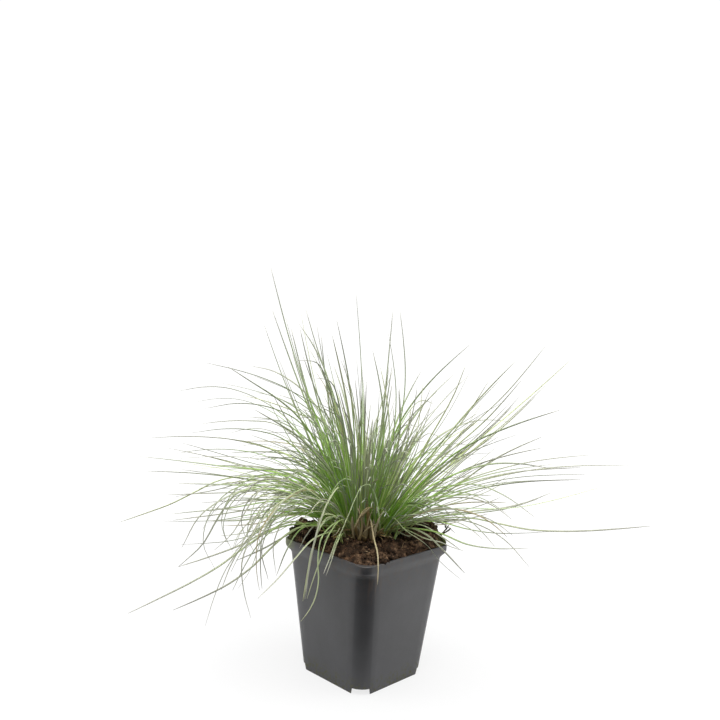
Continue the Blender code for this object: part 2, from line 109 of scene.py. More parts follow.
# %% Helpers for shader nodes
def fill(tree, node, inputs):
    """Sets or links a node's inputs; a colour is given without its alpha."""
    for name, value in inputs.items():
        socket = node.inputs[name]
        if isinstance(value, bpy.types.NodeSocket):
            tree.links.new(value, socket)
        elif socket.type == "RGBA":
            socket.default_value = (*value, 1)
        else:
            socket.default_value = value


def add_node(tree, kind, inputs=None, **settings):
    made = tree.nodes.new(kind)
    for name, value in settings.items():
        setattr(made, name, value)
    fill(tree, made, inputs or {})
    return made


def add_ramp(tree, value, stops):
    """A colour ramp; stops are (place, colour or grey)."""
    ramp = add_node(tree, "ShaderNodeValToRGB", {"Fac": value})
    elements = ramp.color_ramp.elements
    while len(elements) < len(stops):
        elements.new(1)
    for element, (place, colour) in zip(elements, stops):
        element.position = place
        rgb = colour if isinstance(colour, tuple) else (colour, colour, colour)
        element.color = (*rgb, 1)
    return ramp.outputs["Color"]


def mix(tree, share, first, second):
    """Blends two colours; share is how much of the second there is."""
    return add_node(tree, "ShaderNodeMix", {0: share, 6: first, 7: second}, data_type="RGBA").outputs[2]


def calculate(tree, operation, first, second=0.5, third=0.5):
    return add_node(tree, "ShaderNodeMath", {0: first, 1: second, 2: third}, operation=operation).outputs[0]


def product(tree, first, *others):
    for value in others:
        first = calculate(tree, "MULTIPLY", first, value)
    return first


def map_range(tree, value, low, high, bottom=0, top=1):
    ends = {"From Min": low, "From Max": high, "To Min": bottom, "To Max": top}
    return add_node(tree, "ShaderNodeMapRange", {"Value": value, **ends}).outputs["Result"]


def vector_math(tree, operation, first, second=(0, 0, 0)):
    made = add_node(tree, "ShaderNodeVectorMath", {0: first, 1: second}, operation=operation)
    return made.outputs["Value" if operation in ("DOT_PRODUCT", "LENGTH") else "Vector"]


def object_place(tree):
    return add_node(tree, "ShaderNodeTexCoord").outputs["Object"]


def split(tree, vector, axis):
    return add_node(tree, "ShaderNodeSeparateXYZ", {"Vector": vector}).outputs[axis]


def cloud(tree, place, scale, detail, roughness=0.5):
    """A noise texture's value, around a half."""
    inputs = {"Vector": place, "Scale": scale, "Detail": detail, "Roughness": roughness}
    return add_node(tree, "ShaderNodeTexNoise", inputs).outputs["Fac"]


def add_bump(tree, height, strength, distance):
    inputs = {"Strength": strength, "Distance": distance, "Height": height}
    return add_node(tree, "ShaderNodeBump", inputs).outputs["Normal"]


def start_material(name):
    material = bpy.data.materials.new(name)
    material.use_nodes = True
    tree = material.node_tree
    return material, tree, tree.nodes["Principled BSDF"]


print("node helpers ready")

# %% [markdown]
# Two effects belong to more than one finish, so each is a node group with its own values in each place.
# Mottle is the slow and fine unevenness that keeps any real surface from being one flat colour.
# Dust is a thin film of dirt that settles in patches: it grows from the height Low to the height High.

# %% Node groups for mottle and dust
def start_group(name, inputs, outputs):
    group = bpy.data.node_groups.new(name, "ShaderNodeTree")
    for way, labels in (("INPUT", inputs), ("OUTPUT", outputs)):
        for label in labels:
            group.interface.new_socket(label, in_out=way, socket_type="NodeSocketFloat")
    return group, group.nodes.new("NodeGroupInput"), group.nodes.new("NodeGroupOutput")


def make_mottle_group():
    group, given, put_out = start_group("mottle", ("Coarse Scale", "Fine Scale"), ("Coarse", "Fine"))
    place = object_place(group)
    for label, detail in (("Coarse", 3), ("Fine", 2)):
        value = cloud(group, place, given.outputs[label + " Scale"], detail, 0.55)
        group.links.new(value, put_out.inputs[label])
    return group


def make_dust_group():
    group, given, put_out = start_group("peat_dust", ("Low", "High", "Patch Scale", "Amount"), ("Dust",))
    place = object_place(group)
    near_dirt = map_range(group, split(group, place, "Z"), given.outputs["Low"], given.outputs["High"])
    patches = map_range(group, cloud(group, place, given.outputs["Patch Scale"], 4), 0.48, 0.72)
    group.links.new(product(group, near_dirt, patches, given.outputs["Amount"]), put_out.inputs["Dust"])
    return group


MOTTLE = make_mottle_group()
DUST = make_dust_group()


def use_group(tree, group, **values):
    made = add_node(tree, "ShaderNodeGroup", node_tree=group)
    for name, value in values.items():
        made.inputs[name.replace("_", " ").title()].default_value = value
    return made.outputs


print("groups:", MOTTLE.name, DUST.name)

# %% [markdown]
# The pot is a square nursery pot, moulded in one shot of black-grey plastic.
# A mould leaves no sharp edge, so the pot is drawn again as a stack of outlines close together:
# each one is a square whose corners are cut back in a shallow curve.
# The lip swells out of the wall in a long, soft slope, so on the flat sides it hardly shows,
# and it stands out at the corners, where the wall is cut back further than the lip.

# %% Values of the pot
POT_HEIGHT = 99.3 * MM
RIM_WIDTH = 90 * MM
BODY_TOP_WIDTH = 87 * MM
BASE_WIDTH = 68.3 * MM
LIP_DEPTH = 6.8 * MM
LIP_SLOPE = 8 * MM
WALL = 1.1 * MM
FLOOR = 1.5 * MM
CORNER_CUT = 10.3 * MM
LIP_CORNER_CUT = 6 * MM
CORNER_TURN = math.radians(66)
EDGE_ROUND = 0.5 * MM
CORNER_STEPS = 13
SIDE_STEPS = 9
LIP_LOW = POT_HEIGHT - LIP_DEPTH


def outline(width, cut, up, corner_steps=CORNER_STEPS, side_steps=SIDE_STEPS):
    """One level ring of the pot: straight sides, and corners cut back in a shallow curve."""
    half = width / 2
    curve_radius = cut / math.sqrt(2) / math.sin(CORNER_TURN / 2)
    curve_centre = half - cut / 2 - curve_radius * math.cos(CORNER_TURN / 2) / math.sqrt(2)
    quarter = []
    for step in range(corner_steps):
        angle = math.pi / 4 + CORNER_TURN * (step / (corner_steps - 1) - 0.5)
        x, y = curve_radius * math.cos(angle), curve_radius * math.sin(angle)
        quarter.append((curve_centre + x, curve_centre + y))
    for step in range(1, side_steps + 1):
        quarter.append(((1 - 2 * step / (side_steps + 1)) * (half - cut), half))
    ring = []
    for corner in range(4):
        turn = Matrix.Rotation(corner * math.pi / 2, 3, "Z")
        ring += [turn @ Vector((x, y, up)) for x, y in quarter]
    return ring


def body_width(up):
    return BASE_WIDTH + (BODY_TOP_WIDTH - BASE_WIDTH) * up / LIP_LOW


def smoothstep(low, high, value):
    """0 at low, 1 at high, and an S-shaped rise between; low may be the greater."""
    share = min(1, max(0, (value - low) / (high - low)))
    return share * share * (3 - 2 * share)


print("pot", round(RIM_WIDTH / MM), "mm wide and", round(POT_HEIGHT / MM, 1), "mm high")

# %% [markdown]
# The stack runs from the underside up the outside, over the lip and down the inside.
# Round edges come from a few rings on a quarter circle.
# The four drain openings at the foot are cut with a Boolean, because they cross the round corners,
# and a narrow Bevel then softens their edges.

# %% Build the pot
def quads(rings):
    """The corners of each quad between one ring and the next; all rings have equally many points."""
    for low, high in zip(rings, rings[1:]):
        for i in range(len(low)):
            j = (i + 1) % len(low)
            yield low[i], low[j], high[j], high[i]


def loft(rings, closed=True):
    """A bmesh with a skin over the rings, and its vertices ring by ring."""
    bm = bmesh.new()
    levels = [[bm.verts.new(point) for point in ring] for ring in rings]
    for corners in quads(levels):
        bm.faces.new(corners)
    if closed:
        bm.faces.new(levels[0][::-1])
        bm.faces.new(levels[-1])
    return bm, levels


def as_piece(name, bm, *materials):
    bmesh.ops.recalc_face_normals(bm, faces=bm.faces)
    mesh = bpy.data.meshes.new(name)
    bm.to_mesh(mesh)
    bm.free()
    for material in materials:
        mesh.materials.append(material)
    return into_scene(name, mesh)


WALL_RINGS = 24
SLOPE_RINGS = 20


def round_edge(steps):
    """(inset, rise) of rings that turn a sharp edge round, on a quarter circle."""
    turns = [math.pi / 2 * step / steps for step in range(steps + 1)]
    return [(EDGE_ROUND * (1 - math.sin(turn)), EDGE_ROUND * (1 - math.cos(turn))) for turn in turns]


def lip_ring(share):
    """A ring between the wall, where the share is 0, and the lip, where it is 1."""
    up = LIP_LOW + LIP_SLOPE * (share - 0.5)
    width = body_width(up) + (RIM_WIDTH - body_width(up)) * smoothstep(0, 1, share)
    return width, CORNER_CUT + (LIP_CORNER_CUT - CORNER_CUT) * smoothstep(0.3, 0.7, share), up


def pot_profile():
    """(width, corner cut, height) of each ring, from the underside to the pot's inner floor."""
    rows = [(BASE_WIDTH - 2 * inset, CORNER_CUT, rise) for inset, rise in round_edge(4)]
    for step in range(1, WALL_RINGS):
        up = (LIP_LOW - LIP_SLOPE / 2) * step / WALL_RINGS
        rows.append((body_width(up), CORNER_CUT, up))
    rows += [lip_ring(step / SLOPE_RINGS) for step in range(SLOPE_RINGS + 1)]
    rows += [(RIM_WIDTH - 2 * rise, LIP_CORNER_CUT, POT_HEIGHT - inset) for inset, rise in round_edge(6)]
    inside = body_width(POT_HEIGHT) - 2 * WALL
    rows += [(inside + 2 * inset, CORNER_CUT, POT_HEIGHT - rise) for inset, rise in round_edge(4)]
    rows.append((body_width(FLOOR) - 2 * WALL, CORNER_CUT, FLOOR))
    return rows


DRAIN_HEIGHT = 4.4 * MM
DRAIN_TOP_WIDTH = 12.4 * MM
DRAIN_FOOT_WIDTH = 14.2 * MM
DRAIN_DEPTH = 12 * MM


def drain_cutter():
    corner_out = (BASE_WIDTH - CORNER_CUT) / math.sqrt(2)
    bm = bmesh.new()
    for corner in range(4):
        turn = Matrix.Rotation(math.pi / 4 + corner * math.pi / 2, 3, "Z")
        for vert in bmesh.ops.create_cube(bm, size=1)["verts"]:
            wide = DRAIN_TOP_WIDTH if vert.co.z > 0 else DRAIN_FOOT_WIDTH
            out = corner_out + math.copysign(DRAIN_DEPTH, vert.co.x)
            up = math.copysign(DRAIN_HEIGHT, vert.co.z)
            vert.co = turn @ Vector((out, vert.co.y * wide, up))
    return as_piece("drain_cutter", bm)


def apply_modifiers(piece):
    """Turns the piece's modifiers into its mesh."""
    bpy.context.view_layer.update()
    seen = piece.evaluated_get(bpy.context.evaluated_depsgraph_get())
    mesh = bpy.data.meshes.new_from_object(seen)
    piece.modifiers.clear()
    piece.data = mesh


def build_pot():
    bm, _ = loft([outline(*row) for row in pot_profile()])
    pot = as_piece("nursery_pot", bm)
    cutter = drain_cutter()
    cut = pot.modifiers.new("drains", "BOOLEAN")
    cut.object = cutter
    cut.operation = "DIFFERENCE"
    apply_modifiers(pot)
    bpy.data.objects.remove(cutter)
    soften = pot.modifiers.new("soft edges", "BEVEL")
    soften.width = 0.25 * MM
    soften.segments = 2
    soften.limit_method = "ANGLE"
    soften.angle_limit = math.radians(50)
    apply_modifiers(pot)
    pot.data.shade_smooth()
    pot.data.set_sharp_from_angle(angle=math.radians(40))
    return pot


pot = build_pot()
print("pot faces", len(pot.data.polygons))

# %% [markdown]
# The plastic is dull and nearly black, with a faint vertical drag from the mould.
# Peat dust lies on it near the soil, dirt clings to the foot, and dirty water has run down
# beside the near corner and dried. A little moss grows on the left-hand corner of the lip.
# The drag is a noise that is stretched a long way up and down, so it changes quickly across the wall
# and slowly along it, and the stain shows only where the drag is strong.

# %% Pot material
PLASTIC = ((0.3, (0.026, 0.026, 0.028)), (0.7, (0.037, 0.037, 0.041)))
DRAG_DARK = (0.022, 0.022, 0.024)
DRAG_STRETCH = (1, 1, 0.06)
STAIN_BROWN = (0.095, 0.058, 0.036)
STAIN_PLACE = (38.2 * MM, -32 * MM, 0)
FOOT_DIRT = (0.055, 0.055, 0.032)
DUST_BROWN = (0.075, 0.05, 0.034)
MOSS_GREEN = (0.075, 0.09, 0.03)
TO_LEFT_CORNER = (-0.7071, -0.7071, 0)


def stain_mask(tree, place, up, drag):
    """Runs down from the rim, within a few millimetres of the stain's place on the wall."""
    away = vector_math(tree, "SUBTRACT", place, STAIN_PLACE)
    off = vector_math(tree, "LENGTH", vector_math(tree, "MULTIPLY", away, (1, 1, 0)))
    near = map_range(tree, off, 9 * MM, 2 * MM)
    high = map_range(tree, up, 68 * MM, 92 * MM)
    return product(tree, near, high, map_range(tree, drag, 0.45, 0.62))


def moss_mask(tree, place, up, grain):
    """Patches on the lip of the left-hand corner."""
    corner = map_range(tree, vector_math(tree, "DOT_PRODUCT", place, TO_LEFT_CORNER), 51 * MM, 57 * MM)
    lip = map_range(tree, up, 92 * MM, 94 * MM)
    return map_range(tree, product(tree, corner, lip, grain), 0.1, 0.45)


def pot_material():
    material, tree, shader = start_material("pot_plastic")
    mottle = use_group(tree, MOTTLE, coarse_scale=38, fine_scale=1500)
    dust = use_group(tree, DUST, low=70 * MM, high=99 * MM, patch_scale=240, amount=0.5)["Dust"]
    foot_dirt = use_group(tree, DUST, low=15 * MM, high=1 * MM, patch_scale=380, amount=2.2)["Dust"]
    place = object_place(tree)
    up = split(tree, place, "Z")
    stretched = add_node(tree, "ShaderNodeMapping", {"Vector": place, "Scale": DRAG_STRETCH})
    drag = cloud(tree, stretched.outputs["Vector"], 420, 3)
    colour = add_ramp(tree, mottle["Coarse"], PLASTIC)
    colour = mix(tree, product(tree, drag, 0.35), colour, DRAG_DARK)
    stain = stain_mask(tree, place, up, drag)
    colour = mix(tree, product(tree, stain, 0.9), colour, STAIN_BROWN)
    colour = mix(tree, foot_dirt, colour, FOOT_DIRT)
    colour = mix(tree, dust, colour, DUST_BROWN)
    colour = mix(tree, moss_mask(tree, place, up, mottle["Fine"]), colour, MOSS_GREEN)
    rough = map_range(tree, mottle["Fine"], 0, 1, 0.4, 0.56)
    dirt_rough = product(tree, calculate(tree, "MAXIMUM", dust, foot_dirt), 0.3)
    rough = calculate(tree, "ADD", rough, dirt_rough)
    relief = calculate(tree, "ADD", mottle["Fine"], product(tree, drag, 0.6))
    bump = add_bump(tree, relief, 0.12, 0.05 * MM)
    fill(tree, shader, {"Base Color": colour, "Roughness": rough, "Normal": bump})
    return material


pot.data.materials.append(pot_material())
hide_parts("pot")
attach(pot, "root")

# %% [markdown]
# Potting peat is a soft mass of dark crumbs and torn plant fibres, not a smooth heap.
# The solid in the frame has the right heaps, so its own surface is measured from above on a fine grid,
# smoothed, and then roughened with two sizes of noise.
# Loose crumbs, threads of fibre and a few bits of twig are laid on top as real shapes,
# because their shadows are what makes peat look like peat.

# %% Measure the frame's soil from above
GRID_STEP = 0.75 * MM
GRID_HALF = 60
SMOOTHINGS = 6


def solid_tree(node):
    corners = [vert.co for vert in node.data.vertices]
    return BVHTree.FromPolygons(corners, [face.vertices for face in node.data.polygons])


soil_tree = solid_tree(nodes["soil"])
pot_tree = solid_tree(nodes["pot"])


def height_below(tree, x, y):
    """Height of a solid's top at a point, or 0 beside it."""
    hit = tree.ray_cast(Vector((x, y, 1)), Vector((0, 0, -1)))[0]
    return hit.z if hit else 0


def measure_soil():
    """Heights of the soil's solid on a grid, evened out with their neighbours."""
    ticks = np.arange(-GRID_HALF, GRID_HALF + 1) * GRID_STEP
    heights = np.array([[height_below(soil_tree, x, y) for y in ticks] for x in ticks])
    known = heights > 0
    for _ in range(SMOOTHINGS):
        total = np.zeros_like(heights)
        weight = np.zeros_like(heights)
        for i in (-1, 0, 1):
            for j in (-1, 0, 1):
                total += np.roll(heights * known, (i, j), (0, 1))
                weight += np.roll(known, (i, j), (0, 1))
        heights = np.where(weight > 0, total / np.maximum(weight, 1), 0)
        known = weight > 0
    return heights


soil_grid = measure_soil()


def soil_up(x, y):
    """Height of the smoothed peat at a point."""
    i = min(2 * GRID_HALF - 1.001, max(0, x / GRID_STEP + GRID_HALF))
    j = min(2 * GRID_HALF - 1.001, max(0, y / GRID_STEP + GRID_HALF))
    a, b = int(i), int(j)
    u, v = i - a, j - b
    low = soil_grid[a, b] * (1 - v) + soil_grid[a, b + 1] * v
    high = soil_grid[a + 1, b] * (1 - v) + soil_grid[a + 1, b + 1] * v
    return low * (1 - u) + high * u


print("peat at the middle", round(soil_up(0, 0) / MM, 1), "mm up")

# %% [markdown]
# The peat's surface is a stack of rings as well, from its border inwards, like the rings of an onion.
# Each ring point takes its height from the smoothed grid, with lumps and grains on top.
# At two corners the border lies on the pot's lip instead of inside its wall, because peat spills there.

# %% Surface of the peat
PEAT_EDGE_UP = 98.4 * MM
WALL_GAP = 0.6 * MM
SPILL_EDGE = 0.5 * MM
SPILL_TURN = (24, 12)
PEAT_RINGS = 62
BORDER_STEPS = (15, 45)
LUMP = 2.1 * MM
LUMP_SIZE = 5.5 * MM
GRAIN = 0.6 * MM
GRAIN_SIZE = 1.5 * MM


def peat_relief(x, y):
    """How far lumps and grains raise the peat at a point."""
    coarse = noise.noise(Vector((x, y, 0)) / LUMP_SIZE)
    ridged = 0.5 - abs(noise.noise(Vector((x, y, 9)) / (LUMP_SIZE / 2.2)))
    fine = noise.noise(Vector((x, y, 3)) / GRAIN_SIZE)
    return LUMP * (coarse + ridged) + GRAIN * fine


def peat_edge():
    """Rings under the peat's border, and the border itself: inside the wall, or out on the lip."""

    def ring(up, cut):
        return outline(body_width(up) - 2 * WALL - WALL_GAP, cut, up, *BORDER_STEPS)

    throat = ring(POT_HEIGHT, CORNER_CUT)
    lip = outline(RIM_WIDTH - 2 * SPILL_EDGE, LIP_CORNER_CUT, POT_HEIGHT, *BORDER_STEPS)
    edge = []
    for inner, outer in zip(throat, lip):
        azimuth = math.degrees(math.atan2(inner.y, inner.x)) - 45
        off = min(abs((azimuth - corner + 180) % 360 - 180) for corner in (0, 180))
        spill = smoothstep(*SPILL_TURN, off)
        inner.z = PEAT_EDGE_UP + (POT_HEIGHT + 0.4 * MM - PEAT_EDGE_UP) * smoothstep(0, 0.15, spill)
        wander = 1 - 0.008 * spill * (1 + noise.noise(outer * 260))
        point = inner.lerp(outer * wander, spill)
        point.z = inner.z
        edge.append(point)
    return [ring(FLOOR + 0.4 * MM, 20 * MM), ring(FLOOR + 9 * MM, CORNER_CUT), throat], edge


def build_peat():
    rings, edge = peat_edge()
    for step in range(PEAT_RINGS):
        share = 1 - step / PEAT_RINGS
        level = []
        for point in edge:
            x, y = point.x * share, point.y * share
            settle = smoothstep(1.0, 0.95, share)
            up = point.z + (max(soil_up(x, y), point.z - 1 * MM) - point.z) * settle
            level.append(Vector((x, y, up + peat_relief(x, y) * (0.25 + 0.75 * settle))))
        rings.append(level)
    bm, levels = loft(rings, closed=False)
    bm.faces.new(levels[0][::-1])
    middle = bm.verts.new((0, 0, soil_up(0, 0)))
    for i, vert in enumerate(levels[-1]):
        bm.faces.new((vert, levels[-1][(i + 1) % len(edge)], middle))
    for face in bm.faces:
        face.smooth = True
    return bm


print("peat relief", round(LUMP / MM, 1), "mm lumps and", round(GRAIN / MM, 2), "mm grains")

# %% [markdown]
# A crumb is a small ball with its corners pushed in and out, sunk a third of the way into the peat.
# A fibre is a thin three-sided thread that wanders over the surface, and a twig is a thicker one.
# Nearly half of the crumbs gather on the two heaps, and a few clods are laid on the right-hand one.
# What is listed is given in millimetres along the axis through the pot's +X +Y corner, across it and up.

# %% Crumbs, fibres and twigs
CRUMBS = 1500
FIBRES = 300
# Each heap has its place along and across, and its radius, in millimetres.
HEAPS = ((45, 8, 13), (-50, 3, 11))
HEAP_SHARE = 0.45
DIAGONAL = math.sqrt(0.5)


def to_pot(along, across):
    """From the axis through the pot's +X +Y corner, and the one across it, to X and Y."""
    return (along - across) * DIAGONAL, (along + across) * DIAGONAL


def placed(line):
    """Points given in millimetres along, across and up, as places in the frame."""
    return [(*to_pot(along * MM, across * MM), up * MM) for along, across, up in line]


def inside_pot(x, y, width=RIM_WIDTH - 2 * MM):
    half = width / 2
    return max(abs(x), abs(y), (abs(x) + abs(y)) / (2 - LIP_CORNER_CUT / half)) < half


def scatter_spot(rng):
    """A place on the peat, often on a heap."""
    while True:
        if rng.random() < HEAP_SHARE:
            along, across, radius = rng.choice(HEAPS)
            along += rng.gauss(0, radius * 0.6)
            across += rng.gauss(0, radius * 0.6)
            spot = to_pot(along * MM, across * MM)
        else:
            spot = rng.uniform(-45, 45) * MM, rng.uniform(-45, 45) * MM
        if inside_pot(*spot):
            return spot


def add_crumb(bm, rng, radius, place=None):
    """A crumb at a place, or anywhere on the peat."""
    if place is None:
        x, y = scatter_spot(rng)
        place = (x, y, soil_up(x, y) + peat_relief(x, y) + radius * 0.3)
    made = bmesh.ops.create_icosphere(bm, subdivisions=1, radius=radius)["verts"]
    squeeze = Matrix.Diagonal((rng.uniform(0.7, 1.4), rng.uniform(0.7, 1.2), rng.uniform(0.5, 0.95)))
    turn = rng.uniform(0, 6.3)
    spin = Matrix.Rotation(turn, 3, Vector([rng.gauss(0, 1) for _ in range(3)]))
    for vert in made:
        vert.co = Vector(place) + spin @ (squeeze @ (vert.co * rng.uniform(0.72, 1.25)))
    for face in {face for vert in made for face in vert.link_faces}:
        face.smooth = True


# Thirds of a full turn, in radians.
THREE_TURNS = (0, 2.094, 4.189)


def add_thread(bm, points, thick, slot, taper=0.6):
    """A thin closed thread with three sides through the points."""
    rings = []
    across = Vector((0.3, 0.2, 1))
    for k, point in enumerate(points):
        forward = (points[min(k + 1, len(points) - 1)] - points[max(k - 1, 0)]).normalized()
        across = (across - forward * across.dot(forward)).normalized()
        beside = forward.cross(across)
        radius = thick / 2 * (1 - taper * abs(2 * k / (len(points) - 1) - 1) ** 2)
        spokes = [across * math.cos(turn) + beside * math.sin(turn) for turn in THREE_TURNS]
        rings.append([bm.verts.new(point + radius * spoke) for spoke in spokes])
    for corners in (rings[0][::-1], rings[-1], *quads(rings)):
        face = bm.faces.new(corners)
        face.material_index = slot
        face.smooth = True


FIBRE_POINTS = 7


def add_fibre(bm, rng, slot):
    """A thread that wanders over the peat, cut off where it would leave the pot."""
    x, y = scatter_spot(rng)
    heading = rng.uniform(0, 2 * math.pi)
    length = rng.uniform(3, 10) * MM
    lift = rng.uniform(0.1, 0.5) * MM
    points = []
    for _ in range(FIBRE_POINTS):
        if not inside_pot(x, y):
            break
        points.append(Vector((x, y, soil_up(x, y) + peat_relief(x, y) + lift)))
        heading += rng.gauss(0, 0.35)
        x += math.cos(heading) * length / (FIBRE_POINTS - 1)
        y += math.sin(heading) * length / (FIBRE_POINTS - 1)
    if len(points) > 2:
        add_thread(bm, points, rng.uniform(0.15, 0.5) * MM, slot)


TWIGS = (
    ((57, 2, 107), (60, 1.4, 110.5), (61.5, 1, 113.5)),
    ((60, 1.4, 110.5), (59, 0.5, 112), (58.6, 0, 114)),
    ((58, 4, 106), (62, 3.5, 109), (63.5, 3, 111)),
    ((54, -3, 107), (57, -4, 109), (58.5, -4.5, 111)),
    ((-52, -2, 107), (-56, -3, 108), (-58, -4, 107)),
)
# Each clod has its radius in millimetres and its place.
CLODS = (
    (3.2, (46, 1, 110)), (3.4, (50, -1, 108)), (3.2, (53, 1, 105.5)), (3.0, (55.5, -0.5, 103.5)),
    (2.6, (57, 1, 102)), (2.4, (58.5, -0.5, 101)), (2.4, (54, -3.5, 102)),
)
# Which of the piece's materials a thread has; two fibres in three are rusty.
PEAT, RUSTY, PALE = 0, 1, 2
LARGEST_CRUMB = 2.8
SMALLEST_CRUMB = 0.35


def build_soil():
    rng = random.Random(5)
    bm = build_peat()
    for _ in range(CRUMBS):
        add_crumb(bm, rng, min(LARGEST_CRUMB, SMALLEST_CRUMB + rng.expovariate(1.5)) * MM)
    for _ in range(FIBRES):
        add_fibre(bm, rng, rng.choice((RUSTY, RUSTY, PALE)))
    for twig in TWIGS:
        add_thread(bm, [Vector(point) for point in placed(twig)], 1.5 * MM, PEAT, 0.4)
    for radius, place in CLODS:
        add_crumb(bm, rng, radius * MM, placed([place])[0])
    return as_piece("peat", bm)


soil = build_soil()
print("peat faces", len(soil.data.polygons))

# %% [markdown]
# Moist peat runs from nearly black to rusty brown where the fibres dry, in blotches of two sizes. The fine
# blotches also make the bump, so the peat is darkest in the bump's small dips: a little painted shade.
# Algae and a little moss green it at the two corners, where it stays damp against the pot.

# %% Peat materials
PEAT_BROWNS = (
    (0.4, (0.009, 0.0052, 0.0028)),
    (0.48, (0.024, 0.0135, 0.0075)),
    (0.55, (0.052, 0.03, 0.017)),
    (0.66, (0.15, 0.093, 0.054)),
)
ALGAE_GREEN = (0.06, 0.085, 0.02)


def peat_material():
    material, tree, shader = start_material("peat")
    mottle = use_group(tree, MOTTLE, coarse_scale=190, fine_scale=700)
    place = object_place(tree)
    coarse = product(tree, mottle["Coarse"], 0.65)
    # The fine mottle also makes the bump, so its low spots are dark: painted shade in small dips.
    colour = add_ramp(tree, calculate(tree, "MULTIPLY_ADD", mottle["Fine"], 0.35, coarse), PEAT_BROWNS)
    out = calculate(tree, "ADD", split(tree, place, "X"), split(tree, place, "Y"))
    corner = map_range(tree, calculate(tree, "ABSOLUTE", out), 64 * MM, 84 * MM)
    moss = map_range(tree, product(tree, corner, mottle["Coarse"]), 0.2, 0.5)
    colour = mix(tree, product(tree, moss, 0.6), colour, ALGAE_GREEN)
    bump = add_bump(tree, mottle["Fine"], 0.5, 0.3 * MM)
    fill(tree, shader, {"Base Color": colour, "Roughness": 0.9, "Specular IOR Level": 0.12, "Normal": bump})
    return material


def fibre_material(name, dark, light):
    material, tree, shader = start_material(name)
    mottle = use_group(tree, MOTTLE, coarse_scale=200, fine_scale=1500)
    colour = add_ramp(tree, mottle["Coarse"], ((0.35, dark), (0.65, light)))
    fill(tree, shader, {"Base Color": colour, "Roughness": 0.85, "Specular IOR Level": 0.2})
    return material


soil.data.materials.append(peat_material())
soil.data.materials.append(fibre_material("rusty_fibre", (0.07, 0.028, 0.014), (0.2, 0.1, 0.05)))
soil.data.materials.append(fibre_material("pale_fibre", (0.16, 0.1, 0.055), (0.36, 0.26, 0.15)))
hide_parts("soil")
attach(soil, "root")

# %% [markdown]
# A fescue leaf is a thread: it is rolled so tightly along its length that it looks round,
# with a shallow groove along the inside and a waxy bloom that greys the green.
# Each tuft of the frame is a foot with three coarse blades, and the dry blade's foot has only one.
# Their middle lines are found again in its mesh: a blade's tip is a triangle whose corners touch
# only three more points, and those three are the next ring down.
# Walking from ring to ring gives the line that the fine blade then follows.

# %% Find the middle lines in a tuft
WELD = 0.02 * MM


def trace_blades(node):
    """The middle lines of the node's blades, root first, and the middle of its foot."""
    bm = bmesh.new()
    bm.from_mesh(node.data)
    bmesh.ops.remove_doubles(bm, verts=bm.verts, dist=WELD)
    lines = []
    taken = set()
    for face in bm.faces:
        ring = set(face.verts)
        before = set()
        rings = []
        while len(ring) == 3:
            rings.append(ring)
            around = {edge.other_vert(vert) for vert in ring for edge in vert.link_edges}
            before, ring = rings[-1] | before, around - ring - before
            if not ring or len(rings) == 1 and len(ring) != 3:
                break
        if len(rings) > 3:
            middles = [np.mean([vert.co for vert in ring], axis=0) for ring in rings[:-1]]
            lines.append(np.array(middles[::-1]))
            taken.update(*rings)
    sheath = [vert.co for vert in bm.verts if vert not in taken]
    low = min(point.z for point in sheath)
    foot = np.mean([point for point in sheath if point.z < low + 1.5 * MM], axis=0)
    bm.free()
    return lines, foot


guides = {name: trace_blades(nodes[name]) for name in (*tuft_names, "dry_blade")}
print("blades found:", sum(len(lines) for lines, _ in guides.values()), "in", len(guides), "tufts")

# %% [markdown]
# Each line is turned into a smooth curve with many points, and the blade is skinned over it.
# Its section has six points: two rims, a keel with a point on each side of it, and the groove between.
# The blade is widest at its foot, keeps nearly the same width for most of its length,
# and narrows to a fine point.

# %% Helpers for a blade
BLADE_POINTS = 26
SECTION = ((-1.0, 0.32), (-0.72, -0.45), (0.0, -0.85), (0.72, -0.45), (1.0, 0.32), (0.0, 0.02))


def run_along(path):
    """How far along the path each of its points lies."""
    return np.concatenate([[0], np.cumsum(np.linalg.norm(np.diff(path, axis=0), axis=1))])


def smooth_curve(points, count):
    """Evenly spaced points of a smooth curve that passes the given ones."""
    p = np.array(points, float)
    t = run_along(p)
    slope = np.diff(p, axis=0) / np.diff(t)[:, None]
    tangent = np.empty_like(p)
    weight = (np.diff(t)[1:] / (t[2:] - t[:-2]))[:, None]
    tangent[1:-1] = slope[:-1] * weight + slope[1:] * (1 - weight)
    tangent[0] = 1.5 * slope[0] - 0.5 * tangent[1]
    tangent[-1] = 1.5 * slope[-1] - 0.5 * tangent[-2]
    fine = np.linspace(0, t[-1], 4 * count)
    i = np.clip(np.searchsorted(t, fine, side="right") - 1, 0, len(p) - 2)
    span = (t[i + 1] - t[i])[:, None]
    x = (fine[:, None] - t[i][:, None]) / span
    curve = (
        (1 + 2 * x) * (1 - x) ** 2 * p[i]
        + x * (1 - x) ** 2 * span * tangent[i]
        + x * x * (3 - 2 * x) * p[i + 1]
        + x * x * (x - 1) * span * tangent[i + 1]
    )
    return resample(curve, count)


def resample(path, count):
    """The same path with this many evenly spaced points."""
    run = run_along(path)
    even = np.linspace(0, run[-1], count)
    return np.column_stack([np.interp(even, run, path[:, k]) for k in range(3)])


def length_of(path):
    return float(np.linalg.norm(np.diff(path, axis=0), axis=1).sum())


FOOT_SWELL = 0.55
FOOT_SWELL_LENGTH = 7 * MM
THINNEST = 0.11 * MM


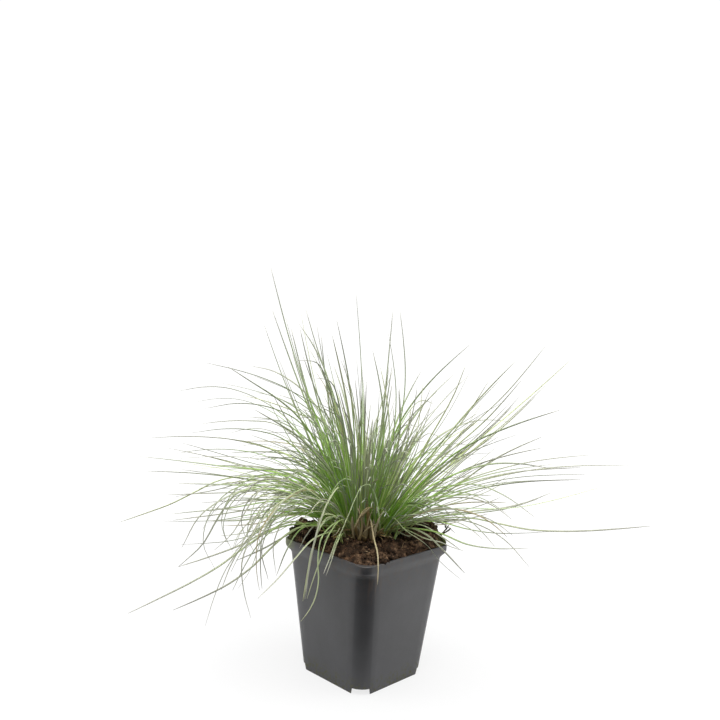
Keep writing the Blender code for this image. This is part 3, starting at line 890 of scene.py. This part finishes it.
class Blades:
    """Collects blades and makes them one joined mesh."""

    def __init__(self):
        self.verts, self.faces = [], []
        self.marks = {"along": [], "tone": [], "dry": []}

    def add(self, path, width, tone, dry, roll, twist):
        """Skins one blade over a path; it starts with the roll and turns by the twist up to its tip."""
        start = sum(len(part) for part in self.verts)
        count, sides = len(path), len(SECTION)
        share = np.linspace(0, 1, count)
        forward = np.gradient(path, axis=0)
        forward /= np.linalg.norm(forward, axis=1)[:, None]
        side = np.array([forward[0][1], -forward[0][0], 0.05])
        points = np.empty((count, sides, 3))
        for k in range(count):
            side = side - forward[k] * (side @ forward[k])
            side /= np.linalg.norm(side)
            over = np.cross(side, forward[k])
            turn = roll + twist * share[k]
            across = side * math.cos(turn) + over * math.sin(turn)
            up = over * math.cos(turn) - side * math.sin(turn)
            swell = 1 + FOOT_SWELL * math.exp(-share[k] * length_of(path) / FOOT_SWELL_LENGTH)
            half = width / 2 * swell * (1 - share[k] ** 6) ** 0.8 + THINNEST
            for i, (a, b) in enumerate(SECTION):
                points[k, i] = path[k] + half * (a * across + b * 0.8 * up)
        self.verts.append(points.reshape(-1, 3))
        rings = (start + np.arange(count * sides)).reshape(count, sides).tolist()
        self.faces += [*quads(rings), rings[0][::-1], rings[-1]]
        for mark, values in (("along", share), ("tone", np.full(count, tone)), ("dry", np.full(count, dry))):
            self.marks[mark].append(np.repeat(values, sides))

    def piece(self, name, material):
        """The joined mesh, with its marks as attributes for the material."""
        mesh = bpy.data.meshes.new(name)
        mesh.from_pydata(np.concatenate(self.verts).tolist(), [], self.faces)
        for mark, values in self.marks.items():
            layer = mesh.attributes.new(mark, "FLOAT", "POINT")
            layer.data.foreach_set("value", np.concatenate(values).astype(np.float32))
        mesh.materials.append(material)
        mesh.shade_smooth()
        mesh.update()
        return into_scene(name, mesh)


print("section of", len(SECTION), "points,", BLADE_POINTS, "rings a blade")

# %% [markdown]
# A leaf's colour changes along it: brown where it leaves the soil, fresh green in the heart of the
# clump, grey-green over most of its length, and paler towards the point.
# Every vertex carries how far along its blade it is, a tone that is the same for the whole blade,
# and how dry the blade is, so one material can colour them all.
# The tone runs from fresh at 0 through waxy and lime to pale above 1; on a dry leaf, from brown to cream.
# Lime is partly the leaf's own yellow-green and partly painted light shining through a leaf lit from behind.
# Pale is a painted highlight: the cream glint of a lit leaf.

# %% Blade material
LEAF_COLOURS = {
    "fresh": (
        (0.0, (0.22, 0.14, 0.05)), (0.05, (0.26, 0.36, 0.06)), (0.18, (0.23, 0.46, 0.04)),
        (0.42, (0.32, 0.52, 0.1)), (0.65, (0.29, 0.35, 0.19)), (0.9, (0.32, 0.33, 0.27)),
        (1.0, (0.4, 0.38, 0.31)),
    ),
    "waxy": (
        (0.0, (0.26, 0.18, 0.08)), (0.08, (0.38, 0.44, 0.17)), (0.25, (0.32, 0.39, 0.17)),
        (0.45, (0.35, 0.38, 0.23)), (0.7, (0.34, 0.34, 0.27)), (1.0, (0.36, 0.35, 0.3)),
    ),
    # Lime: a bright yellow-green, partly the leaf's own colour and partly painted light through a leaf lit
    # from behind.
    "lime": (
        (0.0, (0.7, 0.64, 0.3)), (0.25, (0.64, 0.8, 0.24)), (0.6, (0.5, 0.56, 0.3)),
        (1.0, (0.34, 0.34, 0.22)),
    ),
    # Pale: a painted highlight, the cream glint of a lit leaf.
    "pale": ((0.0, (0.3, 0.4, 0.16)), (0.3, (0.5, 0.66, 0.4)), (1.0, (0.66, 0.66, 0.42))),
    "brown": ((0.0, (0.09, 0.05, 0.02)), (0.5, (0.3, 0.18, 0.065)), (1.0, (0.26, 0.18, 0.08))),
    "cream": ((0.0, (0.3, 0.17, 0.06)), (0.25, (0.46, 0.39, 0.24)), (1.0, (0.42, 0.38, 0.27))),
}
MOTTLE_GREEN = (0.1, 0.17, 0.05)


def blade_material():
    material, tree, shader = start_material("blue_green_blade")
    marks = [add_node(tree, "ShaderNodeAttribute", attribute_name=mark) for mark in ("along", "tone", "dry")]
    along, tone, dry = [mark.outputs["Fac"] for mark in marks]
    mottle = use_group(tree, MOTTLE, coarse_scale=110, fine_scale=1400)
    look = {name: add_ramp(tree, along, stops) for name, stops in LEAF_COLOURS.items()}
    colour = mix(tree, map_range(tree, tone, 0.25, 0.6), look["fresh"], look["waxy"])
    # Tones from 0.72 turn to lime, which is partly painted light through the leaf.
    colour = mix(tree, map_range(tree, tone, 0.72, 0.95), colour, look["lime"])
    # Tones from 1.1 turn to pale, a painted highlight.
    colour = mix(tree, map_range(tree, tone, 1.1, 1.4), colour, look["pale"])
    straw = mix(tree, map_range(tree, tone, 0.2, 0.8), look["brown"], look["cream"])
    colour = mix(tree, dry, colour, straw)
    colour = mix(tree, product(tree, mottle["Coarse"], 0.25), colour, MOTTLE_GREEN)
    rough = map_range(tree, mottle["Fine"], 0, 1, 0.45, 0.68)
    bump = add_bump(tree, mottle["Fine"], 0.15, 0.05 * MM)
    fill(tree, shader, {"Base Color": colour, "Roughness": rough, "Specular IOR Level": 0.2, "Normal": bump})
    return material


blade_look = blade_material()

# %% [markdown]
# A real tuft has far more leaves than the frame's solids.
# The tuft's own lines become its widest leaves. Each extra leaf copies one of those lines,
# swung a few degrees round its foot, made shorter and leaned in or out,
# so the whole clump thickens without growing.
# Leaves that would enter the peat or the rim are lifted until they lie on it,
# and a leaf that would cover the pot's front or a heap of peat is thrown away.

# %% Grow the fine blades
TIP_LENGTH = 1 * MM
ROOT_DEPTH = 3 * MM
LEAF_CLEARANCE = 0.6 * MM
UPRIGHT_RISE = 48
LOW_RISE = 22
LEAVES_BY_RISE = ((60, 17), (35, 14), (LOW_RISE, 11), (-90, 9))
RIGHT_SHARE = 0.85
# A tone of 0.9 gives the lime look, which is partly painted light through the leaf.
UPRIGHT_TONES = (0.0, 0.1, 0.25, 0.9)
LOW_TONES = (0.42, 0.68)
# The tone of leaves that carry a painted highlight.
PAINTED_HIGHLIGHT_TONE = 1.45
TRIES = 8


def ground_up(x, y):
    """The highest thing under a leaf: peat, the pot's rim, or nothing."""
    if not inside_pot(x, y, RIM_WIDTH + 1 * MM):
        return 0
    return max(height_below(soil_tree, x, y) + 0.5 * MM, height_below(pot_tree, x, y))


def keep_above_ground(path, first):
    """Lifts the points after the first few until none is in the peat or the rim."""
    lifted = path.copy()
    need = np.zeros(len(path))
    for k in range(first, len(path)):
        need[k] = max(0, ground_up(path[k][0], path[k][1]) + LEAF_CLEARANCE - path[k][2])
    for _ in range(3):
        need[1:-1] = np.maximum(need[1:-1], (need[:-2] + need[2:]) / 2)
    lifted[:, 2] += need
    return lifted


def turned(path, degrees, scale, lean):
    """A path swung about its root, made longer or shorter, and leaned out (or in, below zero)."""
    away = (path - path[0]) * scale
    out = away[-1] if math.hypot(*away[-1][:2]) > 5 * MM else path[0] - (0, 0, path[0][2])
    heading = Vector((-out[1], out[0], 0)).normalized()
    swing = Matrix.Rotation(math.radians(degrees), 3, "Z") @ Matrix.Rotation(math.radians(lean), 3, heading)
    return path[0] + away @ np.array(swing).T


def waved(path, rng):
    """A slow sideways wander, nothing at the root and a millimetre or two at the tip."""
    share = np.linspace(0, 1, len(path))
    forward = path[-1] - path[0]
    side = np.cross(forward, (0, 0, 1))
    side /= max(np.linalg.norm(side), 1e-9)
    reach = length_of(path) * rng.uniform(0.004, 0.018)
    bend = np.sin(share * rng.uniform(2, 6) + rng.uniform(0, 6))
    return path + side * (reach * bend * share)[:, None]


def from_pot(x, y):
    """The opposite of to_pot."""
    return (x + y) * DIAGONAL, (y - x) * DIAGONAL


def in_the_way(path):
    """Whether a leaf would hang before the pot's front or lie over one of the peat's heaps."""
    for x, y, up in path[3:]:
        along, across = from_pot(x, y)
        before_front = across < 0 and abs(along) < 64 * MM and up < 101 * MM
        over_heap = 36 * MM < abs(along) < 64 * MM and across < 12 * MM and up < 121 * MM
        before_peat = across < -20 * MM and abs(along) < 50 * MM and up < 118 * MM
        if before_front or over_heap or before_peat:
            return True
    return False


def rise_of(line):
    """How steeply a line climbs to its middle, in degrees."""
    rise = line[len(line) // 2] - line[0]
    return math.degrees(math.atan2(rise[2], math.hypot(rise[0], rise[1])))


class Tuft:
    """What the fine leaves need to know of one of the frame's tufts."""

    def __init__(self, lines, foot, rng):
        self.foot = foot
        self.base = np.array([foot[0], foot[1], foot[2] - ROOT_DEPTH])
        self.lines = sorted(lines, key=length_of, reverse=True)
        self.steepest = max(rise_of(line) for line in lines)
        self.upright = self.steepest > UPRIGHT_RISE
        self.leftward = from_pot(foot[0], foot[1])[0] < 0
        self.tone = rng.choice(UPRIGHT_TONES) if self.upright else rng.uniform(*LOW_TONES)

    def root_of(self, line):
        return self.base + (line[0] - self.foot) * (0.5, 0.5, 0)


def add_leading(blades, tuft, rng, withered=False):
    """The tuft's own lines as wide leaves; where withered, short brown stubs without the longest."""
    for line in tuft.lines[1:] if withered else tuft.lines:
        line = line[: len(line) // 2 + 1] if withered else line
        last = line[-1] - line[-2]
        tip = line[-1] + last / np.linalg.norm(last) * TIP_LENGTH
        path = smooth_curve([tuft.root_of(line), *line, tip], BLADE_POINTS + 4)
        tone = min(1 if tuft.upright else 0.7, max(0, rng.gauss(tuft.tone, 0.2)))
        dry, slim = (0.75, 0.6) if withered else (0, 1)
        width = rng.uniform(0.95, 1.25) * slim * MM
        blades.add(path, width, tone, dry, rng.uniform(-0.6, 0.6), rng.uniform(-1.5, 1.5))


def skip_chance(tuft, line):
    """Lines that hang over the rim or lie low are copied less often than the others."""
    if line[-1][2] < 100 * MM:
        return 0.35 if tuft.leftward else 0.85
    return 0.4 if rise_of(line) < LOW_RISE else 0


def vary_line(tuft, rng):
    """A changed copy of one of the tuft's lines, or None where it is skipped or in the way."""
    line = rng.choice(tuft.lines)
    if rng.random() < skip_chance(tuft, line):
        return None
    lean = -rng.uniform(0, 14) if rise_of(line) < LOW_RISE else rng.gauss(0, 6)
    path = smooth_curve([tuft.root_of(line), *line], 50)
    path = turned(path, rng.gauss(0, 8), rng.uniform(0.33, 0.92), lean)
    path[:, :2] += np.array([rng.gauss(0, 1.3), rng.gauss(0, 1.3)]) * MM
    path = keep_above_ground(waved(resample(path, BLADE_POINTS), rng), 3)
    return None if in_the_way(path) else path


def add_extra(blades, tuft, rng):
    """Thinner leaves, more of them in a steep tuft than in a low one."""
    extra = next(count for rise, count in LEAVES_BY_RISE if tuft.steepest > rise)
    extra = extra if tuft.leftward else round(extra * RIGHT_SHARE)
    dry_chance, spread = (0.015, 0.3) if tuft.upright else (0.06, 0.22)
    for _ in range(extra):
        for _ in range(TRIES):
            path = vary_line(tuft, rng)
            if path is None:
                continue
            dry = rng.uniform(0.6, 1) if rng.random() < dry_chance else 0
            # One extra leaf in ten is pale: a painted highlight.
            tone = PAINTED_HIGHLIGHT_TONE if rng.random() < 0.1 else min(1, max(0, rng.gauss(tuft.tone, spread)))
            tone = rng.uniform(0.5, 1) if dry else tone
            width = rng.uniform(0.55, 0.9) * MM
            blades.add(path, width, tone, dry, rng.uniform(-0.6, 0.6), rng.uniform(-2, 2))
            break


print("an upright tuft rises more than", UPRIGHT_RISE, "degrees")

# %% [markdown]
# A few leaves at the front can't come from such rules, because the eye knows each of them:
# two that arch up and hang over the rim, and some that hang down in front of the pot.
# They are given one by one, each a list of points in millimetres along, across and up.

# %% Leaves given one by one
ARCS = {
    "tuft_hanging": (
        (-8, -19, 131), (-9, -21, 141), (-12, -23, 149), (-16, -25, 152), (-20, -27, 151),
        (-26, -31, 144), (-31, -35, 130), (-37, -38, 107), (-40, -40, 88), (-43, -37, 66),
    ),
    "tuft_arched": (
        (9, -19, 114), (6, -23, 135), (3, -25, 144), (-1, -27, 149), (-5, -29, 148),
        (-9, -32, 141), (-14, -36, 128), (-19, -41, 116), (-23, -46, 106), (-25, -49, 100),
    ),
}
# Each wisp has a width in millimetres, a tone and its points; a tone above 1.1 gives the pale look of a
# painted highlight.
WISPS = {
    "tuft_hanging": (
        (1.2, 1.3, (
            (-9, -12, 111), (-21, -22, 124), (-33, -33, 119), (-38, -35, 104), (-41, -34, 86), (-44, -33, 63),
        )),
        (0.9, 1.2, (
            (-8, -13, 111), (-19, -26, 122), (-28, -38, 112), (-32, -41, 98), (-37, -38, 81), (-41, -36, 66),
        )),
        (1.0, 1.25, (
            (-8, -12, 111), (-21, -27, 121), (-32, -38, 112), (-34, -40, 96), (-33, -41, 81), (-35, -39, 68),
            (-38, -37, 60), (-45, -33, 48),
        )),
    ),
    "tuft_arched": (
        (0.6, 0.65, (
            (8, -10, 111), (18, -28, 126), (27, -40, 120), (37, -36, 113), (45, -28, 105), (52, -22, 95),
            (58, -16, 88), (72, -4, 74),
        )),
        (0.8, 0.6, (
            (12, -12, 110), (27, -26, 117), (40, -28, 112), (55, -15, 105), (64, -6, 99), (73, -4, 96),
        )),
    ),
}


def lay_arc(blades, tuft, line):
    path = smooth_curve([tuft.base, *placed(line)], BLADE_POINTS + 10)
    # A tone of 1.3 gives the arc the pale look of a painted highlight.
    blades.add(path, 0.9 * MM, 1.3, 0, 0.3, 0.6)


def lay_wisps(blades, name, rng):
    for width, tone, line in WISPS.get(name, ()):
        path = smooth_curve(placed(line), BLADE_POINTS + 8)
        blades.add(path, width * MM, tone, 0, 0, rng.uniform(-1, 1))


print("leaves laid by hand:", len(ARCS) + sum(len(wisps) for wisps in WISPS.values()))

# %% [markdown]
# Brown stubs of last year's leaves stand round every foot.
# With them each tuft is complete: one joined mesh that takes the place of one of the frame's solids.

# %% Build the grass
STUBS = 4


def add_stubs(blades, foot, rng):
    for _ in range(STUBS):
        heading = math.atan2(foot[1], foot[0]) + rng.gauss(0, 0.9)
        length = rng.uniform(7, 22) * MM
        climb = rng.uniform(0.2, 1.1)
        root = np.array([foot[0] + rng.gauss(0, 1) * MM, foot[1] + rng.gauss(0, 1) * MM, foot[2] - 2 * MM])
        reach = np.array([math.cos(heading), math.sin(heading), 0])
        points = [root + length * (reach * t + (0, 0, climb * (t - 0.55 * t * t))) for t in (0, 0.5, 1)]
        path = keep_above_ground(smooth_curve(points, 9), 2)
        blades.add(path, rng.uniform(0.6, 1.3) * MM, rng.uniform(0, 0.5), 1.0, 0, rng.uniform(-2, 2))


def build_grass():
    rng = random.Random(23)
    made = []
    for name in tuft_names:
        lines, foot = guides[name]
        tuft = Tuft(lines, foot, rng)
        blades = Blades()
        if name in ARCS:
            lay_arc(blades, tuft, ARCS[name])
            add_leading(blades, tuft, rng, withered=True)
        else:
            add_leading(blades, tuft, rng)
            add_extra(blades, tuft, rng)
        add_stubs(blades, foot, rng)
        lay_wisps(blades, name, rng)
        piece = blades.piece("leaves_" + name[5:], blade_look)
        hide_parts(name)
        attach(piece, "root")
        made.append(piece)
    return made


grass = build_grass()
print("grass faces", sum(len(piece.data.polygons) for piece in grass))

# %% [markdown]
# One straw-coloured leaf bends over the near corner of the pot, and follows the frame's line.
# Beside it stand the broad, short remains of an old stalk and a few brown leaves.

# %% Dry blade and old stalk
# Each bit has a width in millimetres, a tone and its points.
DRY_BITS = (
    (3.0, 0.25, ((2, -13, 105), (1, -16, 116), (0, -18, 126), (-1, -19, 135))),
    (2.0, 0.7, ((-1, -16, 112), (-3, -19, 120), (-4, -21, 126))),
    (2.2, 0.25, ((-5, -14, 104), (-8, -20, 112), (-9, -24, 119))),
    (1.6, 0.4, ((6, -13, 105), (9, -19, 112), (12, -23, 116))),
)
BROWN_LEAVES = 10
PEAT_TOP = 105


def build_dry():
    rng = random.Random(3)
    lines, foot = guides["dry_blade"]
    blades = Blades()
    base = np.array([foot[0], foot[1], foot[2] - ROOT_DEPTH])
    longest = max(lines, key=length_of)
    blades.add(smooth_curve([base, *longest], BLADE_POINTS + 6), 1.15 * MM, 0.6, 1.0, 0.2, 0.8)
    for width, tone, line in DRY_BITS:
        blades.add(smooth_curve(placed(line), BLADE_POINTS), width * MM, tone, 1, rng.uniform(-1, 1), 1)
    for _ in range(BROWN_LEAVES):
        x, y = rng.gauss(-4, 4.5), rng.gauss(-18, 1.5)
        tall = rng.uniform(12, 32)
        middle = (x + rng.gauss(0, 2), y - 3, PEAT_TOP + tall * 0.55)
        end = (x + rng.gauss(0, 4), y - 5, PEAT_TOP + tall)
        path = smooth_curve(placed(((x, y, PEAT_TOP), middle, end)), 10)
        width = rng.uniform(1.0, 2.0) * MM
        blades.add(path, width, rng.uniform(0.2, 0.75), 1.0, rng.uniform(-1, 1), 2)
    return blades.piece("dry_leaves", blade_look)


dry = build_dry()
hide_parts("dry_blade")
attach(dry, "root")
print("dry blade faces", len(dry.data.polygons))

# %% [markdown]
# The light is a bright, even studio: white all round, with the side where the camera stands kept dark.
# That dark side is what draws the front corner of the pot, because it reflects in it.
# The floor is a disc, much wider than the plant. The camera sees it glow nearly white, with a faint shadow
# round the pot: partly a real shadow on its faint grey, and partly a painted shadow, because its glow is
# weaker near the pot. It gives the pot less light: in front of the foot it is dark.

# %% Floor, world and lights
TOWARDS_CAMERA = Matrix.Rotation(VIEWER_TURN, 3, "Z") @ Vector((0, -1, 0))
FLOOR_RADIUS = 6
SEEN_GREY = 0.1
# The glow the camera sees, by distance from the middle; the weaker glow near the pot is a painted shadow.
SEEN_GLOW_AND_PAINTED_SHADOW = ((0.03, 0.8), (0.3, 0.88), (0.8, 0.98))
STUDIO_GLOW = ((0.0, 0.45), (0.25, 0.6), (0.42, 1.0), (0.56, 1.0), (0.74, 0.12), (1.0, 0.06))
# Each light has its place, seen by the viewer, its width and its watts.
SOFTBOXES = {
    "top_light": ((0, -0.1, 1.8), 1.1, 20),
    "front_light": ((-0.1, -0.9, 1.6), 0.8, 17),
    "right_light": ((1.6, 0.0, 0.7), 0.9, 7),
    "left_light": ((-1.6, 0.0, 0.7), 0.9, 5),
}


def grey(value):
    return (value, value, value)


def seen_by_camera(tree):
    return add_node(tree, "ShaderNodeLightPath").outputs["Is Camera Ray"]


def build_floor():
    bm = bmesh.new()
    bmesh.ops.create_circle(bm, cap_ends=True, segments=96, radius=FLOOR_RADIUS)
    material, tree, shader = start_material("pale_floor")
    place = object_place(tree)
    in_front = map_range(tree, vector_math(tree, "DOT_PRODUCT", place, tuple(TOWARDS_CAMERA)), 0.035, 0.11)
    seen = seen_by_camera(tree)
    colour = mix(tree, seen, mix(tree, in_front, grey(0.8), grey(0.1)), grey(SEEN_GREY))
    # Weaker near the middle: a painted shadow round the pot's foot.
    glow = mix(tree, seen, grey(0), add_ramp(tree, vector_math(tree, "LENGTH", place), SEEN_GLOW_AND_PAINTED_SHADOW))
    fill(tree, shader, {"Base Color": colour, "Emission Color": glow, "Emission Strength": 1})
    fill(tree, shader, {"Roughness": 1, "Specular IOR Level": 0})
    floor = as_piece("floor", bm, material)
    floor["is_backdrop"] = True


def build_world():
    world = bpy.data.worlds.new("studio")
    world.use_nodes = True
    tree = world.node_tree
    way = add_node(tree, "ShaderNodeTexCoord").outputs["Generated"]
    facing = vector_math(tree, "DOT_PRODUCT", way, tuple(TOWARDS_CAMERA))
    glow = add_ramp(tree, calculate(tree, "MULTIPLY_ADD", facing, 0.5, 0.5), STUDIO_GLOW)
    colour = mix(tree, seen_by_camera(tree), glow, grey(0.5))
    fill(tree, tree.nodes["Background"], {"Color": colour, "Strength": 2.1})
    scene.world = world


def add_softbox(name, place, size, watts):
    light = bpy.data.lights.new(name, "AREA")
    light.shape = "SQUARE"
    light.size = size
    light.energy = watts
    lamp = into_scene(name, light)
    lamp.location = Matrix.Rotation(VIEWER_TURN, 3, "Z") @ Vector(place)
    lamp.rotation_euler = (lamp.location - Vector((0, 0, 0.12))).to_track_quat("Z", "Y").to_euler()


build_floor()
build_world()
for name, values in SOFTBOXES.items():
    add_softbox(name, *values)
scene.view_settings.view_transform = "Standard"
print("studio ready")

# %% [markdown]
# The last cell prints the size of the solids and of the dressed plant, which should nearly agree.

# %% Sizes and finish
dressed_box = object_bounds()
for label, (low, high) in (("solids", cad_box), ("dressed", dressed_box)):
    print(label, [round(value / MM, 1) for value in (*low, *high)])
